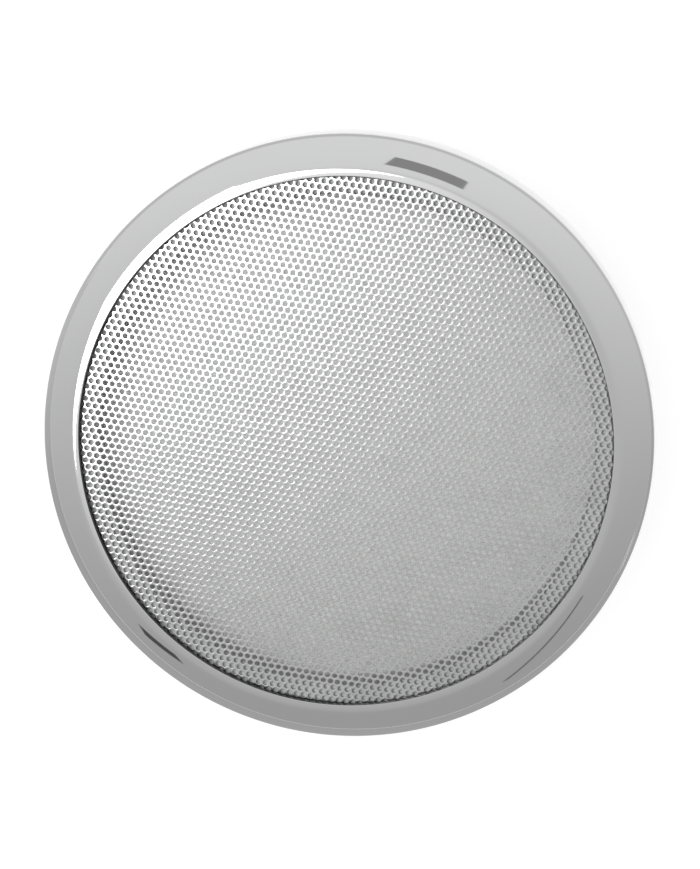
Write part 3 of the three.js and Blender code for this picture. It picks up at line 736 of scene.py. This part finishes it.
zinc_plate = metal("zinc_plate", (0.46, 0.47, 0.47), (0.60, 0.61, 0.61), (0.24, 0.42), 260, 6e-6)
front_plate = turned("front_plate_turned", eased([
    (14.75, 21.9, 0.15), (29.4, 21.9, 0.35), (29.4, 25.4, 0.35), (14.75, 25.4, 0.15)]), 192)
cuts = [placed(post("bore", 1.5, 21, 26.5), motor_circle, a) for a in motor_turns]
cuts += [placed(post("lead_hole", 1.1, 21, 26.5), motor_circle, a)
         for a in (-lead_degrees, lead_degrees)]
cuts += [shifted(post("rivet_hole", 0.9, 21, 23.5), rivet_x, y) for y in rivet_places]
worked(front_plate, "DIFFERENCE", cuts)
front_plate.data.materials.append(zinc_plate)
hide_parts("front_plate")
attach(front_plate, "driver")

ferrite_ring = turned("motor_magnet_ground", eased([
    (16.5, 13.75, 0.3), (24, 13.75, 0.4), (24, 21.85, 0.4), (16.5, 21.85, 0.3)]), 160)
rough_edge = np.random.default_rng(4)
for vertex in ferrite_ring.data.vertices:
    if math.hypot(vertex.co.x, vertex.co.y) > 23.7 * MM:
        vertex.co *= 1 - 0.0012 * rough_edge.random()
ferrite_ring.data.update()
sintered = moulded(
    "sintered_ferrite", (0.028, 0.028, 0.031), (0.052, 0.052, 0.055), (0.5, 0.75), 900, 8e-5)
ferrite_ring.data.materials.append(sintered)
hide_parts("motor_magnet")
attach(ferrite_ring, "driver")

yoke = turned("yoke_turned", eased([
    (4, 10.2, 0.5), (22.9, 10.2, 0.5), (22.9, 13.7, 0.3), (13.3, 13.7, 0.3),
    (13.3, 25.4, 0.3), (4, 25.4, 0.6)]), 160)
yoke.data.materials.append(zinc_plate)
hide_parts("yoke")
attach(yoke, "driver")


# ---- motor screws -------------------------------------------------------------------------------
# Three zinc-plated pan-head screws pass up through the front plate into the faceplate. Each has a
# cross recess in its head and a rolled thread with a short plain neck.

head_back, head_front, thread_start, screw_tip = 20.35, 21.85, 24.2, 28.45
for i, degrees in enumerate(motor_turns, 1):
    cap = arch((0, head_back), (2.2, head_front - 0.6), -52, 8)
    thread, z = [], thread_start
    while z < screw_tip - 0.9:
        thread += [(1.06, z), (1.3, z + 0.2), (1.3, z + 0.25), (1.06, z + 0.45)]
        z += 0.5
    screw = turned(f"motor_screw_{i}_threaded", [
        *cap, (2.2, head_front - 0.1), (2.1, head_front), (1.3, head_front),
        (1.3, thread_start - 0.2), *thread, (1.0, screw_tip - 0.4), (0.6, screw_tip),
        (0, screw_tip)], 40)
    worked(screw, "DIFFERENCE", cross_recess(head_back, 1.0, 1.15, 0.28))
    placed(screw, motor_circle, degrees)
    screw.data.materials.append(bright_zinc)
    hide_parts(f"motor_screw_{i}")
    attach(screw, "driver")


# ---- rear chamber -------------------------------------------------------------------------------
# A closed cup, moulded in the same black plastic, is glued round the yoke to tame the air behind
# the pole. Its back has a shallow turned step and the dimple where the mould was filled.

chamber_radius, chamber_inner, chamber_floor = 24.4, 23.1, 1.4
chamber = turned("rear_chamber_moulded", [
    (0, 0.3), (0.9, 0.3), (1.2, 0), (17.0, 0), (17.15, 0.18), (17.85, 0.18), (18.0, 0),
    *arch((chamber_radius - 2, 0), (chamber_radius, 2), -90, 10), (chamber_radius, 13.55),
    (chamber_radius - 0.15, 13.7), (chamber_inner + 0.15, 13.7), (chamber_inner, 13.55),
    (chamber_inner, chamber_floor + 0.4), (chamber_inner - 0.4, chamber_floor), (0, chamber_floor),
], 192)
chamber.data.materials.append(black_grained)
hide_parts("rear_chamber")
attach(chamber, "driver")


# ---- damping pad --------------------------------------------------------------------------------
# A disc of loose needled wool felt, cut with a knife and dropped into the chamber. It soaks up the
# dome's back wave. It swells a little in the middle and its cut edge is ragged.

pad_radius, pad_back, pad_front, pad_rings, pad_sides = 22.5, 1.45, 7.45, 26, 120
lofty = np.random.default_rng(9)
bm = bmesh.new()
sheets = []
for low in (True, False):
    rings = [[bm.verts.new((0, 0, (pad_back if low else pad_front) * MM))]]
    for k in range(1, pad_rings + 1):
        t = k / pad_rings
        row = []
        for j in range(pad_sides):
            a = 2 * math.pi * j / pad_sides
            edge = (1 - max(t - 0.93, 0) / 0.07 * 0.03) * (1 - 0.004 * lofty.random())
            sink = 0.12 * lofty.random() + 0.9 * max(t - 0.9, 0) * 10 * (t ** 6) + 0.25 * t * t
            z = pad_back + sink * 0.25 if low else pad_front - sink
            r = pad_radius * t * edge
            row.append(bm.verts.new((r * math.cos(a) * MM, r * math.sin(a) * MM, z * MM)))
        rings.append(row)
    for a, b in zip(rings, rings[1:]):
        for j in range(pad_sides):
            n = (j + 1) % pad_sides
            corners = [a[j % len(a)], a[n % len(a)], b[n], b[j]]
            bm.faces.new(list(dict.fromkeys(corners)))
    sheets.append(rings[-1])
for j in range(pad_sides):
    n = (j + 1) % pad_sides
    bm.faces.new((sheets[0][j], sheets[0][n], sheets[1][n], sheets[1][j]))
damping_pad = finished("damping_pad_felted", bm, 180)


def fibrous(name, grain, detail, swirl, dark, light, patches, rough, depth, strength):
    """Tangled or layered fibres: swirled noise in two shades, with relief."""
    material, tree, shader, link = look(name)
    fibres = cloudy(tree, grain, detail)
    fibres.inputs["Distortion"].default_value = swirl
    link(shades(tree, fibres.outputs["Fac"], dark, light), shader.inputs["Base Color"])
    patchy(tree, shader, patches, *rough)
    relief(tree, shader, fibres.outputs["Fac"], depth, strength)
    return material


needled = fibrous("needled_felt", 1800, 8, 1.5, (0.42, 0.40, 0.36), (0.66, 0.64, 0.59),
                  500, (0.85, 1.0), 3e-4, 0.9)
needled.node_tree.nodes["Principled BSDF"].inputs["Sheen Weight"].default_value = 0.5
damping_pad.data.materials.append(needled)
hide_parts("damping_pad")
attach(damping_pad, "driver")


# ---- terminal board -----------------------------------------------------------------------------
# An angle of brown paper laminate, stamped and riveted up under the front plate. Its leg hangs down
# beside the magnet and carries the two blades.

board_top, board_back, board_face, board_thick = 21.85, 24.6, 28.6, 1.2
blade_rivet_z, blade_y = 16.625, 4.6


def plate(name, outline, low, high, lie, soften):
    """A flat outline given a thickness, with softened edges, then stood up by lie."""
    bm = prism([[(x, y, h) for x, y in outline] for h in (low, high)])
    bmesh.ops.recalc_face_normals(bm, faces=bm.faces)
    bmesh.ops.bevel(bm, geom=bm.edges[:], offset=soften * MM, segments=2, profile=0.5,
                    affect="EDGES")
    bmesh.ops.transform(bm, matrix=lie, verts=bm.verts)
    return finished(name, bm)


def crosswise(piece, x, y, z):
    """Lays a piece turned round Z along X, and moves it into place."""
    piece.data.transform(Matrix.Translation((x * MM, y * MM, z * MM))
                         @ Matrix.Rotation(math.pi / 2, 4, "Y"))
    return piece


board_inner, leg_end = board_face - board_thick, board_top - 9.5
board = plate("terminal_board_stamped", [
    (board_back, board_top), (board_face, board_top), (board_face, leg_end),
    (board_inner, leg_end), (board_inner, board_top - board_thick),
    (board_back, board_top - board_thick),
], -7.5, 7.5, Matrix(((1, 0, 0, 0), (0, 0, 1, 0), (0, 1, 0, 0), (0, 0, 0, 1))), 0.12)
cuts = [shifted(post("rivet_hole", 0.9, 19, 23), rivet_x, y) for y in rivet_places]
cuts += [crosswise(post("blade_hole", 0.75, -3, 2), board_face, y, blade_rivet_z)
         for y in (-blade_y, blade_y)]
worked(board, "DIFFERENCE", cuts)
laminate = fibrous("paper_laminate", 700, 6, 0.8, (0.13, 0.070, 0.032), (0.22, 0.125, 0.062),
                   300, (0.35, 0.55), 4e-5, 0.5)
board.data.materials.append(laminate)
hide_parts("terminal_board")
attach(board, "driver")


# ---- blades -------------------------------------------------------------------------------------
# Two male spades stamped from tinned brass, the positive one wider so that the plugs can't be
# swapped. Each has cropped corners, a latch hole near its tip and a rivet through its root.

blade_top, blade_length, blade_back, blade_front = 20.65, 15.5, 28.65, 29.45
tinned = metal("tinned_brass_look", (0.60, 0.60, 0.56), (0.72, 0.72, 0.68), (0.16, 0.32), 500, 3e-6)
stand_up = Matrix(((0, 0, 1, 0), (1, 0, 0, 0), (0, 1, 0, 0), (0, 0, 0, 1)))
for name, width, y in (("positive", 4.8, blade_y), ("negative", 2.8, -blade_y)):
    half, crop, tip = width / 2, width * 0.22, blade_top - blade_length
    blade = plate(f"terminal_blade_{name}_stamped", [
        (y - half, blade_top), (y - half, tip + crop), (y - half + crop, tip),
        (y + half - crop, tip), (y + half, tip + crop), (y + half, blade_top),
    ], blade_back, blade_front, stand_up, 0.1)
    worked(blade, "DIFFERENCE", [
        crosswise(post("rivet_bore", 0.75, -1, 3), board_face, y, blade_rivet_z),
        crosswise(post("latch_hole", width * 0.16, -1, 3), board_face, y, tip + 3.2)])
    blade.data.materials.append(tinned)
    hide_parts(f"terminal_blade_{name}")
    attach(blade, "driver")


# ---- rivets -------------------------------------------------------------------------------------
# Tinned brass rivets: two set up through the board into the front plate, and one through each blade
# and the board's leg. The heads are domed by the setting tool.

for i, y in enumerate(rivet_places, 1):
    rivet = turned(f"board_rivet_{i}_set", [
        *arch((0, 20.0), (1.2, 20.35), -60, 8), (1.2, 20.55), (1.15, 20.6), (0.7, 20.6),
        (0.7, 23.2), (0.6, 23.3), (0, 23.3)], 40)
    shifted(rivet, rivet_x, y)
    rivet.data.materials.append(tinned)
    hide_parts(f"board_rivet_{i}")
    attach(rivet, "driver")
for i, y in enumerate((blade_y, -blade_y), 1):
    rivet = crosswise(turned(f"blade_rivet_{i}_set", [
        (0, -1.0), (0.6, -1.0), (0.7, -0.9), (0.7, 0.9), (1.1, 0.9), (1.1, 0.95),
        *arch((0, 1.2), (1.05, 1.0), 40, 8)[::-1]], 40), board_face, y, blade_rivet_z)
    rivet.data.materials.append(tinned)
    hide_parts(f"blade_rivet_{i}")
    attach(rivet, "driver")


# ---- leads --------------------------------------------------------------------------------------
# Two short stranded leads in thin plastic sleeves, red to positive. Each lies in a groove behind
# the faceplate, drops through the front plate and is soldered beside its blade.


def sleeved(name, dark, light):
    """A soft PVC sleeve."""
    return moulded(name, dark, light, (0.35, 0.5), 600, 1e-5)


solder = metal("solder", (0.50, 0.50, 0.50), (0.66, 0.66, 0.66), (0.2, 0.4), 600, 8e-6)
red_pvc = sleeved("red_pvc", (0.34, 0.015, 0.012), (0.46, 0.03, 0.022))
black_pvc = sleeved("black_pvc", (0.012, 0.012, 0.012), (0.03, 0.03, 0.03))
for name, side, width, sleeve, slot in (("positive", 1, 4.8, red_pvc, "red_sleeve"),
                                        ("negative", -1, 2.8, black_pvc, "black_sleeve")):
    a = math.radians(lead_degrees)
    out = (math.cos(a), side * math.sin(a))
    groove_z = face_back + 0.35
    beside = side * (blade_y + width / 2 + 0.55)
    route = [
        (out[0] * 20.6, out[1] * 20.6, groove_z), (out[0] * 25.9, out[1] * 25.9, groove_z),
        (out[0] * motor_circle, out[1] * motor_circle, 24.4),
        (out[0] * motor_circle, out[1] * motor_circle, 21.3),
        (28.05, side * 8.9, 18.65), (29.05, side * 8.2, 17.65),
        (29.05, beside, 16.25), (29.05, beside, 14.85),
    ]
    path = bpy.data.curves.new(f"lead_{name}", "CURVE")
    path.dimensions, path.bevel_depth, path.bevel_resolution = "3D", 0.3 * MM, 4
    path.use_fill_caps, path.resolution_u = True, 10
    spline = path.splines.new("BEZIER")
    spline.bezier_points.add(len(route) - 1)
    for point, (x, y, z) in zip(spline.bezier_points, route):
        point.co = (x * MM, y * MM, z * MM)
        point.handle_left_type = point.handle_right_type = "AUTO"
    laid = bpy.data.objects.new(f"lead_{name}_path", path)
    bpy.context.collection.objects.link(laid)
    bpy.context.view_layer.update()
    tube = bpy.data.meshes.new_from_object(
        laid.evaluated_get(bpy.context.evaluated_depsgraph_get()))
    bpy.data.objects.remove(laid, do_unlink=True)
    bm = bmesh.new()
    bm.from_mesh(tube)
    lead = finished(f"lead_{name}_sleeved", bm, 60)
    lead.data.materials.append(sleeve)
    lead.data.materials.append(solder)
    for face in lead.data.polygons:
        face.material_index = int(face.center.z < 15.6 * MM)
    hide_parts(f"lead_{name}")
    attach(lead, "driver")


# ---- studio -------------------------------------------------------------------------------------
# A white table, an even white tent and a large soft lamp high on the left. Plain cards that show
# only in the chrome stand in for the rest of the room.

floor_z, face_height = -0.0002, 0.035
floor_mesh = bpy.data.meshes.new("floor")
floor_mesh.from_pydata([(x, y, floor_z) for x, y in ((-6, -6), (6, -6), (6, 6), (-6, 6))], [],
                       [(0, 1, 2, 3)])
floor = bpy.data.objects.new("floor", floor_mesh)
bpy.context.collection.objects.link(floor)
white_table, tree, shader, link = look("white_table")
shader.inputs["Base Color"].default_value = (0.8, 0.8, 0.8, 1)
shader.inputs["Roughness"].default_value = 0.9
shader.inputs["Emission Color"].default_value = (1, 1, 1, 1)
shader.inputs["Emission Strength"].default_value = 0.5
floor_mesh.materials.append(white_table)


def ray(azimuth, elevation):
    """The direction towards a bearing and a height, in degrees."""
    a, e = math.radians(azimuth), math.radians(elevation)
    return Vector((math.cos(a) * math.cos(e), math.sin(a) * math.cos(e), math.sin(e)))


def facing(tree, source, direction, dim, bright, start=-1, end=1):
    """Goes softly from dim to bright as a direction swings round to the given one."""
    along = tree.nodes.new("ShaderNodeVectorMath")
    along.operation = "DOT_PRODUCT"
    along.inputs[1].default_value = direction
    tree.links.new(source, along.inputs[0])
    step = tree.nodes.new("ShaderNodeMapRange")
    step.interpolation_type = "SMOOTHSTEP"
    step.inputs["From Min"].default_value, step.inputs["From Max"].default_value = start, end
    step.inputs["To Min"].default_value, step.inputs["To Max"].default_value = dim, bright
    tree.links.new(along.outputs["Value"], step.inputs["Value"])
    return step.outputs["Result"]


world = bpy.data.worlds.new("tent")
bpy.context.scene.world = world
world.use_nodes = True
tree = world.node_tree
where = tree.nodes.new("ShaderNodeTexCoord").outputs["Generated"]
bright_side = ray(95, 0)
scrim = Vector((-0.270, 0.064, 0.961)).normalized()
both = tree.nodes.new("ShaderNodeMath")
tree.links.new(facing(tree, where, bright_side, 0.56, 1.14), both.inputs[0])
tree.links.new(facing(tree, where, scrim, 0, 0.5, 0.925, 0.99), both.inputs[1])
tree.links.new(both.outputs["Value"], tree.nodes["Background"].inputs["Strength"])
tree.nodes["Background"].inputs["Color"].default_value = (1, 1, 1, 1)

# the lamp leaves the table alone, so that it throws no hard shadow there
lamp_size, lamp_radiance = (0.59, 0.77), 6.8
lamp_data = bpy.data.lights.new("key", "AREA")
lamp_data.shape, lamp_data.size, lamp_data.size_y = "RECTANGLE", *lamp_size
lamp_data.energy = lamp_radiance * math.pi * lamp_size[0] * lamp_size[1]
key = bpy.data.objects.new("key", lamp_data)
bpy.context.collection.objects.link(key)
key.location = Vector((0, 0, face_height)) + ray(153, 60)
key.rotation_euler = (ray(153, 60).to_track_quat("Z", "Y")
                      @ Matrix.Rotation(math.radians(-16), 3, "Z").to_quaternion()).to_euler()
key.visible_camera = False
no_shadow_on_table = bpy.data.collections.new("no_shadow_on_table")
no_shadow_on_table.objects.link(floor)
no_shadow_on_table.collection_objects[0].light_linking.link_state = "EXCLUDE"
key.light_linking.receiver_collection = no_shadow_on_table


def card(name, outline, shade):
    """A flat card that shows only in reflections, with its own even shade."""
    mesh = bpy.data.meshes.new(name)
    mesh.from_pydata(outline, [], [tuple(range(len(outline)))])
    made = bpy.data.objects.new(name, mesh)
    bpy.context.collection.objects.link(made)
    material, tree, shader, link = look(name + "_paper")
    shader.inputs["Base Color"].default_value = (0, 0, 0, 1)
    shader.inputs["Roughness"].default_value = 1
    shader.inputs["Specular IOR Level"].default_value = 0
    shader.inputs["Emission Color"].default_value = (1, 1, 1, 1)
    shader.inputs["Emission Strength"].default_value = shade
    mesh.materials.append(material)
    made.visible_camera = made.visible_shadow = made.visible_diffuse = False
    return tree, shader


def upright(azimuth, elevation, away, width, height, lean):
    """The corners of a card that faces the tweeter from a bearing."""
    back, across = ray(azimuth, elevation), ray(azimuth + 90, 0)
    rise = back.cross(across)
    turn = Matrix.Rotation(math.radians(lean), 3, back)
    middle = Vector((0, 0, face_height)) + back * away
    return [middle + turn @ (across * x * width / 2 + rise * y * height / 2)
            for x, y in ((-1, -1), (1, -1), (1, 1), (-1, 1))]


# the table as the chrome sees it, brighter on its far side
turns = [math.radians(a) for a in range(0, 361, 5)]
tree, shader = card("table_ring", [
    (r * math.cos(a), r * math.sin(a), 0.002)
    for r, way in ((0.07, turns), (2.5, turns[::-1])) for a in way], 0.7)
outward = tree.nodes.new("ShaderNodeVectorMath")
outward.operation = "NORMALIZE"
tree.links.new(tree.nodes.new("ShaderNodeTexCoord").outputs["Object"], outward.inputs[0])
tree.links.new(facing(tree, outward.outputs["Vector"], bright_side, 0.60, 0.85, -0.35, 0.35),
               shader.inputs["Emission Strength"])
card("overhead_bar", upright(76, 35, 0.6, 0.17, 0.11, -8), 0.40)
card("left_stand", upright(231, 16, 0.6, 0.09, 0.05, 25), 0.12)
card("right_stand", upright(304, 20, 0.6, 0.018, 0.26, -55), 0.25)

bpy.context.scene.view_settings.view_transform = "Standard"


# ---- camera -------------------------------------------------------------------------------------
# It looks down on the face from a little to the upper right.

tilt, bearing, distance = 12, 62, 0.4164
aim = Vector((0.0002, 0.00025, 0.0325))
toward = ray(bearing, 90 - tilt)
right = Vector((0, 1, 0)).cross(toward).normalized()
up = toward.cross(right)
camera_data = bpy.data.cameras.new("camera")
camera = bpy.data.objects.new("camera", camera_data)
bpy.context.collection.objects.link(camera)
camera.matrix_world = Matrix.Translation(aim + toward * distance) @ Matrix(
    (right, up, toward)).transposed().to_4x4()
camera_data.sensor_width = 36
camera_data.lens = 123.6
camera_data.clip_start, camera_data.clip_end = 0.01, 50
bpy.context.scene.camera = camera
